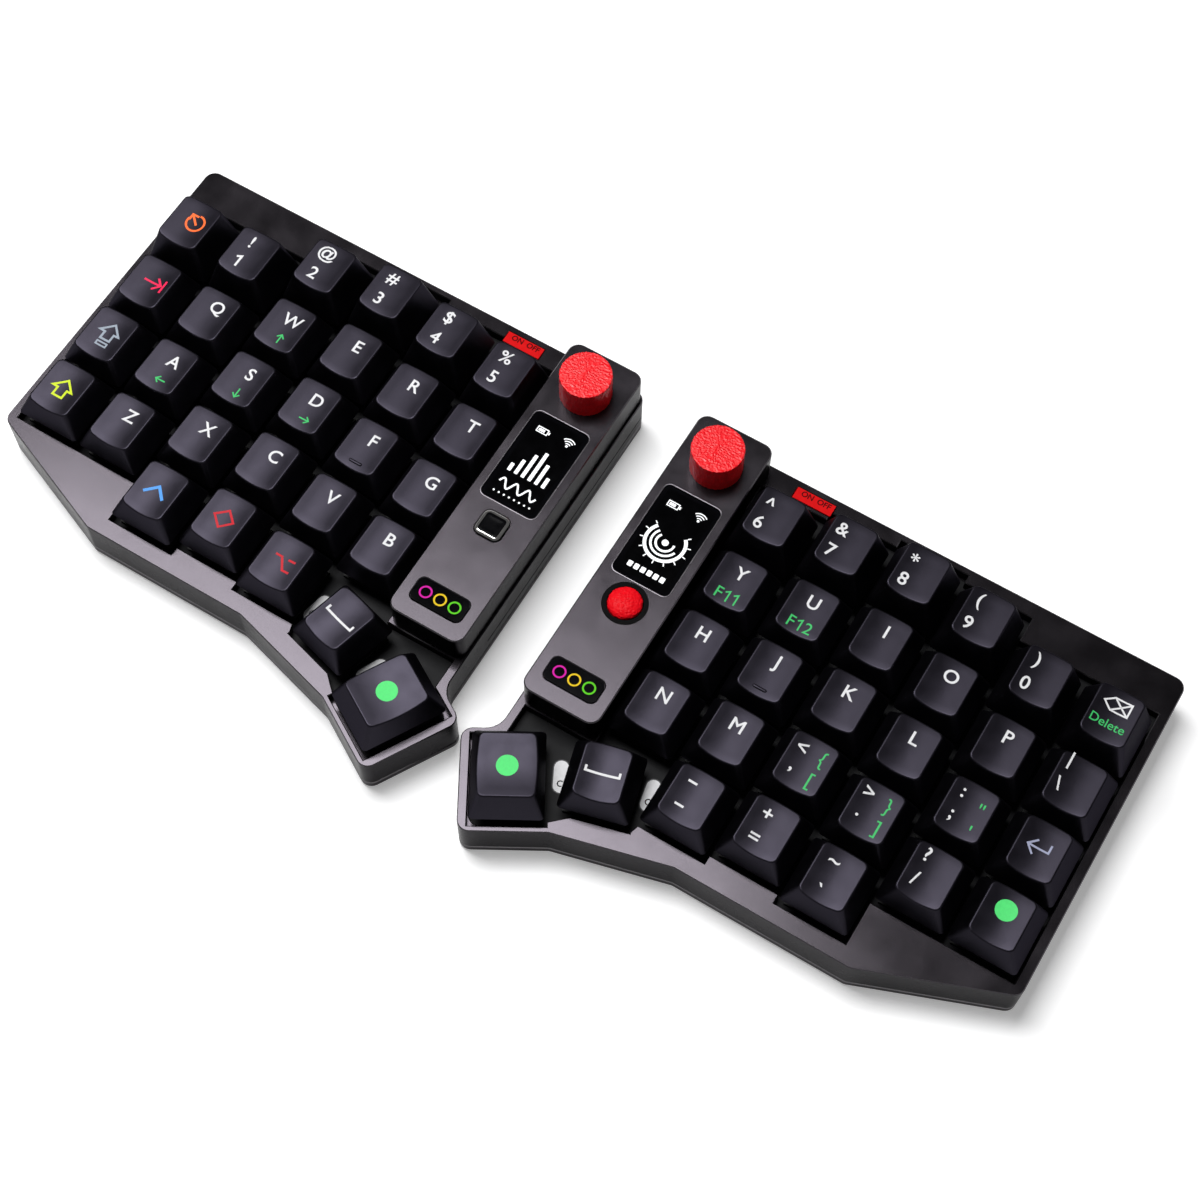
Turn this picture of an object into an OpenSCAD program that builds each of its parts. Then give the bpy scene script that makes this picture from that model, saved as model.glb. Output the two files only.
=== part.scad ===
/* [Layout] */
// Distance between neighbouring key centres
key_pitch = 19.05; // [18.6:0.05:21]
// Rows of keys in each of the six columns
key_rows = 4; // [3:1:5]
// One step of the column stagger
stagger_step = 2.38; // [0:0.1:4]
// Distance between the inner key columns of the two halves
inner_spacing = 80; // [80:1:160]
// How far the right half stands forward of the left one
half_slip = 1.2; // [-20:0.1:20]
// Space key centre, outward from the inner column
space_x = -2.1; // [-4:0.1:0]
// Space key centre, forward of the inner column's last row
space_drop = 22.25; // [21.5:0.05:26]
// Turn of the space key
space_angle = 15; // [8:1:20]
// Thumb key centre, inward from the space key
thumb_in = 20.4; // [20:0.1:24]
// Thumb key centre, forward of the space key
thumb_drop = 10.1; // [9:0.1:14]
// Turn of the thumb key
thumb_angle = 30; // [25:1:35]

/* [Keycaps] */
// Width of a keycap at its base
cap_w = 18.1; // [17.6:0.1:18.3]
// Extra length of the thumb keycap
thumb_extra = 4.76; // [0:0.1:9]
// Height of a keycap
cap_h = 7.3; // [7:0.1:12]
// Extra height of the number row
number_rise = 3.5; // [0:0.1:4]
// Draw-in of the left and right faces
cap_side_draw = 3.25; // [1:0.05:3.4]
// Draw-in of the front and rear faces
cap_end_draw = 2.25; // [1:0.05:2.5]
// Corner chamfer of a keycap
cap_corner = 1; // [0.4:0.1:1.4]
// Wall of a keycap
cap_wall = 1.4; // [1:0.05:1.5]
// Top of a keycap below its dish
cap_top_t = 1.5; // [1:0.1:1.6]
// Depth of the dish in a keycap's top
dish_depth = 0.5; // [0.2:0.05:0.55]
// Height of the keycap's lower edge over the switch plate
cap_lift = 5.6; // [5.4:0.1:6.2]
// Travel of a key
key_travel = 4; // [2:0.1:4]

/* [Key switches] */
// Width of the housing below the plate
housing_w = 13.8; // [13.5:0.1:14]
// Width of the flange that rests on the plate
flange_w = 15.6; // [15.2:0.1:16]
// Thickness of that flange
flange_t = 1; // [0.6:0.1:1.2]
// Height of the housing above the plate
housing_h = 6.6; // [6:0.1:6.8]
// Width of the housing's top
housing_top_w = 9.6; // [9:0.1:10.2]
// Depth of the housing's top
housing_top_l = 10.6; // [9.4:0.1:11]
// Width of the stem's slider
slider_w = 7.2; // [6.4:0.1:7.4]
// Depth of the stem's slider
slider_l = 6; // [5.8:0.1:6.4]
// Height of the stem's cross
cross_h = 3.6; // [3:0.1:3.7]
// Length of a bar of the stem's cross
cross_l = 4; // [3.6:0.1:4.4]
// Thickness of a bar of the stem's cross
cross_t = 1.2; // [1:0.05:1.4]
// Diameter of the post under the keycap
cap_post_d = 5.5; // [5.3:0.1:5.8]
// Diameter of the peg that locates a housing in the circuit board
peg_d = 4; // [3:0.1:4.5]
// Distance from the plate's top to the circuit board
plate_to_board = 5; // [4.8:0.1:7]

/* [Case] */
// Height of the rubber feet
foot_h = 1; // [0.6:0.1:3]
// Diameter of the rubber feet
foot_d = 8; // [5:0.5:10]
// Thickness of the bottom plate
bottom_t = 2; // [1.5:0.1:4]
// Thickness of the foam pad
foam_t = 2; // [0.8:0.1:4]
// Thickness of the main circuit board
board_t = 1.2; // [0.8:0.1:2]
// Thickness of the switch plate
plate_t = 1.5; // [1:0.1:1.6]
// Thickness of the deck
deck_t = 3; // [1.5:0.1:3.4]
// Thickness of the case wall
wall = 2.4; // [2:0.1:2.8]
// Rim beside the outer column
side_rim = 2.85; // [2.6:0.05:6]
// Rim behind the highest column
rear_rim = 4.9; // [4.7:0.1:9]
// Rim in front of the outer columns
front_outer_rim = 2.1; // [2:0.1:6]
// Rim in front of the lower keys
front_rim = 4.8; // [4.6:0.1:9]
// Rim in front of and behind the thumb keycap
thumb_rim = 2; // [1.8:0.1:5]
// Rim on the inner side of the thumb keycap
thumb_side_rim = 2.95; // [2.6:0.05:3.3]
// Corner radius of the case
case_r = 3; // [1:0.5:4]
// Gap between keycaps and the edge of the key well
cap_gap = 0.6; // [0.5:0.05:0.9]
// Extra depth of the key well behind the number row
rear_relief = 3; // [1:0.1:3.2]
// Height of the dark groove over the bottom plate
groove_h = 0.5; // [0.3:0.1:1]
// Depth of the groove
groove_d = 0.5; // [0.3:0.1:1]

/* [Controller strip] */
// Width of the controller cover
cover_w = 21.4; // [21:0.1:26]
// Length of the controller cover
cover_l = 89.4; // [88.6:0.1:90.4]
// Height of the controller cover
cover_h = 9.5; // [9:0.1:16]
// Wall of the cover
cover_wall = 1.6; // [1.2:0.1:1.8]
// Top of the cover
cover_top_t = 2; // [1.8:0.1:2.4]
// Corner radius of the cover
cover_r = 3; // [1:0.5:4]
// Gap between the cover and the inner column's cell
cover_gap = 0.1; // [0.05:0.05:0.6]
// Set-back of the cover from the case's inner and rear edges
cover_ledge = 0.6; // [0.4:0.1:3]
// Knob centre from the cover's rear edge
knob_set = 12.1; // [11.9:0.1:14]
// Diameter of the knob
knob_d = 14; // [10:0.5:18]
// Height of the knob
knob_h = 8.5; // [6:0.5:14]
// Gap under the knob
knob_gap = 0.6; // [0.3:0.1:2]
// Diameter of the encoder shaft
shaft_d = 6; // [4:0.5:6]
// Diameter of the encoder bushing
bushing_d = 7.2; // [7.1:0.1:9]
// Display window centre from the cover's rear edge
window_set = 36.7; // [34.5:0.1:37.5]
// Width of the display window
window_w = 16; // [13:0.5:16]
// Length of the display window
window_l = 28; // [20:0.5:29]
// Thickness of the windows
window_t = 1; // [0.6:0.1:1.2]
// Button centre from the cover's rear edge
button_set = 57.3; // [57:0.1:62]
// Width of the square button
square_w = 7.2; // [5:0.1:9]
// Diameter of the round button
round_d = 9; // [6:0.1:9.5]
// Height of the buttons above the cover
button_rise = 0.5; // [0.4:0.1:2]
// Height of the round button's dome
dome_h = 1.4; // [0.5:0.1:3]
// Travel of the buttons
button_travel = 0.4; // [0.2:0.05:0.4]
// Status window centre from the cover's front edge
status_set = 8.1; // [5:0.1:12]
// Width of the status window
status_w = 14.6; // [8:0.1:16]
// Length of the status window
status_l = 6.6; // [3:0.1:8]

/* [Connections] */
// Width of the USB socket
usb_w = 9; // [8.94:0.02:9.4]
// Height of the USB socket
usb_h = 3.2; // [3.16:0.02:3.4]
// Depth of the USB socket
usb_l = 6.2; // [5.5:0.1:6.3]
// Power switch centre, outward from the inner column
power_x = 4.2; // [2:0.1:8]
// Travel of the power slider
power_travel = 2; // [1:0.1:2.5]
// Width of the power label
label_w = 11; // [8:0.5:12]
// Depth of the power label
label_l = 3.4; // [2:0.1:3.8]
// Power label centre from the case's rear edge
label_set = 3.6; // [2.2:0.1:3.8]
// Diameter of the screw shanks
screw_d = 2; // [1.6:0.1:2.2]
// Diameter of the case screws' heads
head_d = 3.6; // [3.4:0.1:4]
// Diameter of the cover screws' heads
cover_head_d = 3; // [2.6:0.1:3]

/* [Hidden] */
$fn = 48;
slip_fit = 0.1;
close_fit = 0.03;
seat_gap = 0.05;
columns = 6;
stagger_steps = [0, 1, 2, 1, -2, -2];
halves = ["left", "right"];

// Heights above the desk
bottom_top = foot_h + bottom_t;
board_z = bottom_top + foam_t;
board_top = board_z + board_t;
plate_top = board_top + plate_to_board;
rim_z = plate_top + deck_t;
cover_top = rim_z + cover_h;
cover_ceiling = cover_top - cover_top_t;

// Key places in one half: x outward from the inner column, y rearward from its number key.
// A key is [x, y, turn, extra width, extra height].
half_pitch = key_pitch / 2;
stagger = [for (s = stagger_steps) s * stagger_step];
function grid_key(c, r) = [c * key_pitch, stagger[c] - r * key_pitch, 0, 0, r == 0 ? number_rise : 0];
low_columns = [1, 2, 3];

// Rear edge of the case, ends of the cover, and the line that the space and thumb keys are set from: the
// inner column's last row, or a longer cover
rear_y = max(stagger) + half_pitch + rear_rim;
cover_y1 = rear_y - cover_ledge / 2;
cover_y0 = cover_y1 - cover_l;
cover_over = 13.5;
cluster_y = min(-(key_rows - 1) * key_pitch, cover_y0 + cover_over);

space_y = cluster_y - space_drop;
thumb_c = [space_x - thumb_in, space_y - thumb_drop];
space_key = [space_x, space_y, space_angle, 0, 0];
thumb_key = [thumb_c.x, thumb_c.y, thumb_angle + 90, thumb_extra, 0];
grid_keys = [for (c = [0:columns - 1]) for (r = [0:key_rows - 1]) grid_key(c, r)];
low_keys = [for (c = low_columns) grid_key(c, key_rows)];
all_keys = concat(grid_keys, low_keys, [space_key, thumb_key]);
cell = cap_w + 2 * cap_gap;

// Rotation of a point in the plane
function turned(p, a) = [p.x * cos(a) - p.y * sin(a), p.x * sin(a) + p.y * cos(a)];
function cell_corner(k, sx, sy) =
    [k.x, k.y] + turned([sx * (cell + k[3]) / 2, sy * cell / 2], k[2]);

// Controller strip in the half's frame
cover_x1 = -half_pitch - cover_gap;
cover_x0 = cover_x1 - cover_w;
strip_x = (cover_x0 + cover_x1) / 2;
inner_x = cover_x0 - cover_ledge;

// Outline of the case, counter-clockwise from the rear outer corner, each with its radius
outer_x = (columns - 1) * key_pitch + half_pitch + side_rim;
front_outer_y = min(stagger) - (key_rows - 0.5) * key_pitch - front_outer_rim;
front_y = stagger[low_columns[0]] - (key_rows + 0.5) * key_pitch - front_rim;
thumb_u = [cos(thumb_angle), sin(thumb_angle)];
thumb_v = [-sin(thumb_angle), cos(thumb_angle)];
thumb_reach = (cap_w + thumb_extra) / 2 + thumb_rim;
thumb_side = cap_w / 2 + thumb_side_rim;
bend_in = cap_w / 2 + 1;
wedge_x = (low_columns[2] + 0.5) * key_pitch + 3.7;
bend_x = low_columns[0] * key_pitch + 3.95;
function notch(x) = thumb_c + thumb_reach * thumb_v
    + (x - thumb_c.x - thumb_reach * thumb_v.x) / thumb_u.x * thumb_u;
function outline_from(x) = [
    [outer_x, rear_y, case_r],
    [x, rear_y, case_r],
    concat(notch(x), 2 * case_r),
    concat(thumb_c - thumb_side * thumb_u + thumb_reach * thumb_v, case_r),
    concat(thumb_c - thumb_side * thumb_u - thumb_reach * thumb_v, case_r),
    concat(thumb_c + bend_in * thumb_u - thumb_reach * thumb_v, case_r),
    [bend_x, front_y, case_r],
    [wedge_x, front_y, case_r],
    [outer_x, front_outer_y, case_r]
];
outline = outline_from(inner_x);
thumb_corner = 4;

knob_y = cover_y1 - knob_set;
window_y = cover_y1 - window_set;
button_y = cover_y1 - button_set;
status_y = cover_y0 + status_set;

// Corners, insets and arcs of outlines
function unit(v) = v / norm(v);
function flat(p) = [p.x, p.y];
function left_of(v) = [-v.y, v.x];
function cut_point(p, d, q, e) = p + d * ((q - p) * left_of(e)) / (d * left_of(e));
function edge_dir(pts, i) = unit(flat(pts[(i + 1) % len(pts)]) - flat(pts[i]));
function inset(pts, t) = [
    for (i = [0:len(pts) - 1])
        let (h = (i + len(pts) - 1) % len(pts), d = edge_dir(pts, h), e = edge_dir(pts, i))
            concat(
                cut_point(flat(pts[h]) + t * left_of(d), d, flat(pts[i]) + t * left_of(e), e), pts[i][2])
];
function arc_centre(p, v, q, r) =
    let (a = unit(p - v), b = unit(q - v), half = acos(a * b) / 2) v + unit(a + b) * r / sin(half);
function short_turn(w) = w > 180 ? w - 360 : w < -180 ? w + 360 : w;
arc_steps = 6;
function corner_arc(p, v, q, r) =
    let (a = unit(p - v), b = unit(q - v), reach = r / tan(acos(a * b) / 2), c = arc_centre(p, v, q, r),
         s = v + a * reach - c, e = v + b * reach - c, a0 = atan2(s.y, s.x),
         sweep = short_turn(atan2(e.y, e.x) - a0))
        [for (i = [0:arc_steps]) c + r * [cos(a0 + sweep * i / arc_steps), sin(a0 + sweep * i / arc_steps)]];
function neighbour(pts, i, n) = flat(pts[(i + n + len(pts)) % len(pts)]);
function rounded(pts) = [
    for (i = [0:len(pts) - 1])
        each corner_arc(neighbour(pts, i, -1), flat(pts[i]), neighbour(pts, i, 1), pts[i][2])
];
function box_outline(w, l, r) =
    [[w / 2, l / 2, r], [-w / 2, l / 2, r], [-w / 2, -l / 2, r], [w / 2, -l / 2, r]];

// Origin at the middle of the whole keyboard's footprint
thumb_arc = arc_centre(
    flat(outline[thumb_corner - 1]), flat(outline[thumb_corner]), flat(outline[thumb_corner + 1]), case_r);
origin_y = -(rear_y + thumb_arc.y - case_r) / 2;

// Screw bosses of the case in the half's frame
boss_r = 2.4;
boss_inset = 3;
boss_share = 0.6;
strip_front = 9;
wedge_boss_x = 88;
front_edge = [flat(outline[thumb_corner + 1]), flat(outline[thumb_corner + 2])];
front_dir = unit(front_edge[1] - front_edge[0]);
bosses = [
    [outer_x - wall - boss_inset, rear_y - wall - boss_inset],
    [-6, rear_y - wall - boss_r + 0.6],
    [inner_x + wall + boss_r - 0.6, window_y],
    [strip_x, cover_y0 + strip_front / 2],
    front_edge[0] + boss_share * (front_edge[1] - front_edge[0]) + (wall + slip_fit) * left_of(front_dir),
    [wedge_boss_x, (front_outer_y + front_y) / 2 + 4]
];
cover_boss_r = 2.2;
cover_boss_x = cover_w / 2 - cover_wall - cover_boss_r + slip_fit;
cover_bosses = [
    for (s = [-1, 1])
        for (y = [cover_y0 + 4.5, rear_y - wall - 2.4])
            [strip_x + s * cover_boss_x, y]
];
feet_places = [
    [outer_x - 14, rear_y - 15],
    [outer_x - 12, front_outer_y + 8],
    [strip_x - 2, rear_y - 9],
    [thumb_c.x, thumb_c.y - 4],
    [2 * key_pitch, front_y + 9]
];

// Encoder, boards, battery and switches under the cover
encoder_w = 12;
encoder_l = 11;
encoder_h = 6.6;
bushing_top = cover_top - 0.4;
shaft_bottom = board_top + 4;
knob_top_t = 1.6;
controller_w = 17.6;
controller_l = 33;
controller_z = rim_z + 0.5;
controller_t = 1.6;
controller_gap = 0.6;
controller_y = cover_y0 + strip_front + controller_gap + controller_l / 2;
header_w = 2.5;
battery_w = 12;
battery_l = 30;
battery_t = 4.6;
display_t = 2.6;
display_rim = 1.4;
window_r = 1.6;
tact_w = 6;
tact_h = 3.4;
plunger_d = 3.4;
plunger_in = 1;
flange_over = 0.9;
button_flange_t = 0.8;
button_gap = 0.2;
round_gap = 0.8;
slide_w = 8.6;
slide_l = 3;
slide_h = 3.4;
slider_t = 1.5;
slider_nub_w = 2;
usb_wall = 0.3;
label_t = 0.5;
label_sink = 0.4;
side_groove_z = 6.4;
head_t = (head_d - screw_d) / 2;
plunger_z = controller_z + controller_t + tact_h - plunger_in;
knob_z = cover_top + knob_gap;

function rear_name(h, c) = str(h, "_keys_column_", c + 1, "_rear");
function front_name(h, c) = str(h, "_keys_column_", c + 1, "_front");
function low_name(h, c) = str(h, "_key_low_", c + 1);
function space_name(h) = str(h, "_key_space");
function thumb_name(h) = str(h, "_key_thumb");

// Places a half's own frame in the keyboard's frame
module in_half(h) {
    s = h == "left" ? -1 : 1;
    translate([s * inner_spacing / 2, origin_y - s * half_slip / 2, 0])
        mirror([h == "left" ? 1 : 0, 0, 0])
            children();
}

module in_both() {
    for (h = halves)
        in_half(h)
            children();
}

module at_key(k) {
    translate([k.x, k.y, 0])
        rotate(k[2])
            children();
}

module block(size, z) {
    translate([0, 0, z + size.z / 2])
        cube(size, center = true);
}

module prism(pts, z0, z1) {
    translate([0, 0, z0])
        linear_extrude(z1 - z0)
            polygon(pts);
}

module rounded_block(w, l, r, z0, z1) {
    prism(rounded(box_outline(w, l, r)), z0, z1);
}

// Bar of trapezoid section along Y, half widths a0 at the bottom and a1 at the top
module wedge_bar(a0, a1, h, reach) {
    rotate([90, 0, 0])
        linear_extrude(reach, center = true)
            polygon([[-a0, 0], [a0, 0], [a1, h], [-a1, h]]);
}

// Block whose side faces draw in by dx and its end faces by dy
module drawn_block(w, l, h, dx, dy) {
    intersection() {
        wedge_bar(w / 2, w / 2 - dx, h, l);
        rotate(90)
            wedge_bar(l / 2, l / 2 - dy, h, w);
    }
}

// Key: cap and stem, seated on the switch

module cap_body(w, h) {
    diagonal = (w + cap_w) / 2 / sqrt(2) - cap_corner / sqrt(2);
    top_w = w - 2 * cap_side_draw;
    dish_r = (top_w * top_w / 4 + dish_depth * dish_depth) / (2 * dish_depth);
    difference() {
        intersection() {
            drawn_block(w, cap_w, h, cap_side_draw, cap_end_draw);
            for (a = [45, -45])
                rotate(a)
                    wedge_bar(diagonal, diagonal - (cap_side_draw + cap_end_draw) / sqrt(2), h, 2 * w);
        }
        translate([0, 0, h - dish_depth + dish_r])
            rotate([90, 0, 0])
                cylinder(h = 2 * cap_w, r = dish_r, center = true, $fn = 96);
    }
}

module keycap(extra, rise) {
    w = cap_w + extra;
    h = cap_h + rise;
    hollow = h - cap_top_t - dish_depth;
    share = hollow / h;
    post_z = housing_h - cap_lift + seat_gap;
    union() {
        difference() {
            cap_body(w, h);
            drawn_block(
                w - 2 * cap_wall, cap_w - 2 * cap_wall, hollow, cap_side_draw * share, cap_end_draw * share);
        }
        difference() {
            translate([0, 0, post_z])
                cylinder(h = hollow + dish_depth - post_z, d = cap_post_d);
            stem_cross(post_z, post_z + cross_h + seat_gap, close_fit);
        }
    }
}

module stem_cross(z0, z1, gap) {
    for (a = [0, 90])
        rotate(a)
            block([cross_l + 2 * gap, cross_t + 2 * gap, z1 - z0], z0);
}

module stem() {
    slider_h = housing_h - flange_t;
    union() {
        block([slider_w, slider_l, slider_h], flange_t);
        stem_cross(housing_h, housing_h + cross_h, 0);
    }
}

module key(k) {
    at_key(k) {
        translate([0, 0, plate_top + cap_lift])
            keycap(k[3], k[4]);
        translate([0, 0, plate_top])
            stem();
    }
}

module keys(h, list) {
    color("#3b3a40")
        in_half(h)
            for (k = list)
                key(k);
}

module switch_housing() {
    well_floor = plate_top + flange_t - key_travel - 2 * slip_fit;
    difference() {
        union() {
            translate([0, 0, board_z])
                cylinder(h = board_t, d = peg_d);
            block([housing_w, housing_w, plate_to_board], board_top);
            block([flange_w, flange_w, flange_t], plate_top);
            translate([0, 0, plate_top + flange_t])
                drawn_block(
                    housing_w, housing_w, housing_h - flange_t,
                    (housing_w - housing_top_w) / 2, (housing_w - housing_top_l) / 2);
        }
        block([slider_w + 2 * slip_fit, slider_l + 2 * slip_fit, cover_top], well_floor);
    }
}

module switch_housings() {
    color("#202024")
        in_both()
            for (k = all_keys)
                at_key(k)
                    switch_housing();
}

// Case

module cell_area(k) {
    at_key(k)
        square([cell + k[3], cell], center = true);
}

// Opening of the deck over the keys. The three polygons clear the gaps beside the turned keys and in front
// of the cover, with their corners inside the neighbouring cells.
module key_well() {
    inside = 0.98;
    last = grid_key(0, key_rows - 1);
    low = low_keys[0];
    gap_x = -inside * cell / 2;
    for (k = all_keys)
        cell_area(k);
    for (c = [0:columns - 1])
        translate([c * key_pitch, stagger[c] + rear_relief / 2])
            square([cell, cell + rear_relief], center = true);
    polygon([
        cell_corner(thumb_key, inside, -0.5), cell_corner(space_key, -0.5, inside),
        cell_corner(space_key, -0.5, -inside), cell_corner(thumb_key, -inside, -0.5)]);
    polygon([
        [gap_x, last.y], flat(last), flat(low), cell_corner(low, -0.9, -inside),
        cell_corner(space_key, inside, -inside), [gap_x, space_y]]);
    polygon([
        [inner_x + wall, cover_y0 - cover_ledge / 2],
        [inner_x + wall, notch(inner_x + wall).y - 1.5 * thumb_rim],
        thumb_c, [space_x, space_y], [inside * gap_x, cover_y0 - cover_ledge / 2]]);
}

module strip_opening() {
    y0 = cover_y0 + strip_front;
    y1 = knob_y + encoder_l / 2 + 0.5;
    translate([strip_x, (y0 + y1) / 2])
        square([cover_w - 2 * cover_wall, y1 - y0], center = true);
}

module boss_holes(d, z0, z1) {
    for (b = bosses)
        translate([b.x, b.y, z0])
            cylinder(h = z1 - z0, d = d);
}

module case_shell() {
    difference() {
        union() {
            difference() {
                prism(rounded(outline), bottom_top + groove_h, rim_z);
                prism(rounded(inset(outline, wall)), bottom_top, plate_top);
            }
            difference() {
                prism(rounded(inset(outline, groove_d)), bottom_top, bottom_top + groove_h);
                prism(rounded(inset(outline, wall)), bottom_top - 1, bottom_top + groove_h);
            }
            boss_holes(2 * boss_r, bottom_top, plate_top);
        }
        translate([0, 0, plate_top - seat_gap])
            linear_extrude(2 * deck_t) {
                key_well();
                strip_opening();
            }
        boss_holes(screw_d + 2 * seat_gap, bottom_top - 1, plate_top - 1);
        for (b = cover_bosses)
            translate([b.x, b.y, plate_top - 1])
                cylinder(h = deck_t + 2, d = screw_d + 4 * slip_fit);
        translate([strip_x, rear_y, board_top + usb_h / 2])
            cube([usb_w + 2 * slip_fit, 3 * wall, usb_h + 2 * slip_fit], center = true);
        translate([power_x, rear_y, board_top + slide_h / 2])
            cube(
                [slider_nub_w + power_travel + 4 * slip_fit, 3 * wall, slider_t + 4 * slip_fit],
                center = true);
        translate([power_x, rear_y - label_set, rim_z - label_sink])
            block([label_w + 2 * slip_fit, label_l + 2 * slip_fit, deck_t], 0);
        translate([inner_x, window_y, side_groove_z])
            block([2 * groove_d, cover_l - 2 * cover_r, groove_h], 0);
    }
}

module case_part(h) {
    color("#4a494e")
        in_half(h)
            case_shell();
}

module bottom_plate(h) {
    color("#8d8c90")
        in_half(h)
            difference() {
                prism(rounded(outline), foot_h, bottom_top);
                boss_holes(screw_d + 2 * slip_fit, foot_h - 1, bottom_top + 1);
                for (b = bosses)
                    translate([b.x, b.y, foot_h])
                        cylinder(
                            h = head_t, d1 = head_d + 2 * slip_fit, d2 = screw_d + 2 * slip_fit);
            }
}

module feet() {
    color("#1c1c1c")
        in_both()
            for (p = feet_places)
                translate([p.x, p.y, 0])
                    cylinder(h = foot_h, d = foot_d);
}

module case_screw() {
    rotate_extrude()
        polygon([
            [0, foot_h], [head_d / 2, foot_h], [screw_d / 2, foot_h + head_t],
            [screw_d / 2, plate_top - 2], [0, plate_top - 2]]);
}

module cover_screw() {
    head_h = 1.2;
    rotate_extrude()
        polygon([
            [0, plate_top - head_h], [cover_head_d / 2, plate_top - head_h], [cover_head_d / 2, plate_top],
            [screw_d / 2, plate_top], [screw_d / 2, rim_z + cover_h / 2], [0, rim_z + cover_h / 2]]);
}

module screws() {
    color("#3a3a3c")
        in_both() {
            for (b = bosses)
                translate(b)
                    case_screw();
            for (b = cover_bosses)
                translate(b)
                    cover_screw();
        }
}

module switch_plate(h) {
    plate_x = strip_x + cover_w / 2 - cover_wall;
    plate_lap = 1.5;
    hole_w = housing_w + 2 * slip_fit;
    color("#2a2a2d")
        in_half(h)
            difference() {
                union() {
                    prism(
                        rounded(inset(outline_from(plate_x - wall), wall + slip_fit)),
                        plate_top - plate_t, plate_top);
                    intersection() {
                        prism(rounded(inset(outline, wall + slip_fit)), plate_top - plate_t, plate_top);
                        translate([strip_x, cover_y0 - cover_w / 2 + plate_lap, 0])
                            block([2 * cover_w, cover_w, 3 * plate_t], plate_top - 2 * plate_t);
                    }
                }
                for (k = all_keys)
                    at_key(k)
                        block([hole_w, hole_w, 3 * plate_t], plate_top - 2 * plate_t);
                boss_holes(2 * boss_r + 4 * slip_fit, board_top, rim_z);
            }
}

// Inside

module sheet_in_case(z, t, hole_d) {
    difference() {
        prism(rounded(inset(outline, wall + 3 * slip_fit)), z, z + t);
        for (k = all_keys)
            translate([k.x, k.y, z - 1])
                cylinder(h = t + 2, d = hole_d);
        boss_holes(2 * boss_r + 4 * slip_fit, z - 1, z + t + 1);
    }
}

module foam_pads() {
    color("#55555a")
        in_both()
            sheet_in_case(bottom_top, foam_t, peg_d + 6 * slip_fit);
}

module controller_board() {
    header_x = controller_w / 2 - header_w / 2;
    translate([strip_x, controller_y, 0]) {
        block([controller_w, controller_l, controller_t], controller_z);
        for (s = [-1, 1])
            translate([s * header_x, 0, 0])
                block(
                    [header_w, controller_l - 4, controller_z - board_top - seat_gap],
                    board_top + seat_gap);
    }
}

module circuit_boards() {
    color("#16301f")
        in_both() {
            sheet_in_case(board_z, board_t, peg_d + 2 * slip_fit);
            controller_board();
        }
}

module batteries() {
    color("#b9bcc2")
        in_both()
            translate([strip_x, controller_y, 0])
                rounded_block(battery_w, battery_l, 1, board_top + seat_gap, board_top + battery_t);
}

module usb_sockets() {
    color("silver")
        in_both()
            translate([strip_x, rear_y - cover_ledge / 2 - usb_l / 2, board_top + usb_h / 2])
                rotate([90, 0, 0])
                    difference() {
                        rounded_block(usb_w, usb_h, usb_h / 2 - usb_wall, -usb_l / 2, usb_l / 2);
                        rounded_block(
                            usb_w - 2 * usb_wall, usb_h - 2 * usb_wall, usb_h / 2 - 2 * usb_wall,
                            -usb_l, usb_l / 2 - 1);
                    }
}

module display_modules() {
    display_top = cover_ceiling - slip_fit;
    color("#101014")
        in_both()
            translate([strip_x, window_y, 0]) {
                block([window_w - 1.2, window_l - 1, display_t], display_top - display_t);
                translate([0, window_l / 2 - 3, 0])
                    block(
                        [10, header_w, display_top - display_t - board_top - seat_gap], board_top + seat_gap);
            }
}

module window_pane(w, l) {
    rounded_block(w, l, window_r, cover_top - window_t - slip_fit, cover_top - slip_fit);
}

module cover_windows() {
    color("#0b0b0e")
        in_both() {
            translate([strip_x, window_y, 0])
                window_pane(window_w, window_l);
            translate([strip_x, status_y, 0])
                window_pane(status_w, status_l);
        }
}

module window_seat(w, l, y) {
    translate([strip_x, y, 0])
        rounded_block(
            w + 2 * slip_fit, l + 2 * slip_fit, window_r + slip_fit,
            cover_top - window_t - slip_fit, cover_top + 1);
}

module encoders() {
    color("#a9abb0")
        in_both()
            translate([strip_x, knob_y, 0])
                difference() {
                    union() {
                        block([encoder_w, encoder_l, encoder_h], board_top);
                        translate([0, 0, board_top + encoder_h])
                            cylinder(h = bushing_top - board_top - encoder_h, d = bushing_d);
                    }
                    translate([0, 0, shaft_bottom - slip_fit])
                        cylinder(h = cover_h + rim_z, d = shaft_d + slip_fit);
                }
}

module panel_switches() {
    color("#2b2b2f")
        in_both() {
            translate([strip_x, button_y, 0])
                difference() {
                    block([tact_w, tact_w, tact_h], controller_z + controller_t);
                    translate([0, 0, plunger_z - button_travel - slip_fit])
                        cylinder(h = cover_h, d = plunger_d + 2 * slip_fit);
                }
            translate([power_x, rear_y - wall - slip_fit - slide_l / 2, 0])
                difference() {
                    block([slide_w, slide_l, slide_h], board_top);
                    translate([0, slide_l / 2, board_top + slide_h / 2])
                        cube(
                            [slider_nub_w + power_travel + 2 * slip_fit, slide_l, slider_t + 2 * slip_fit],
                            center = true);
                }
        }
}

// Moving controls

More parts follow.
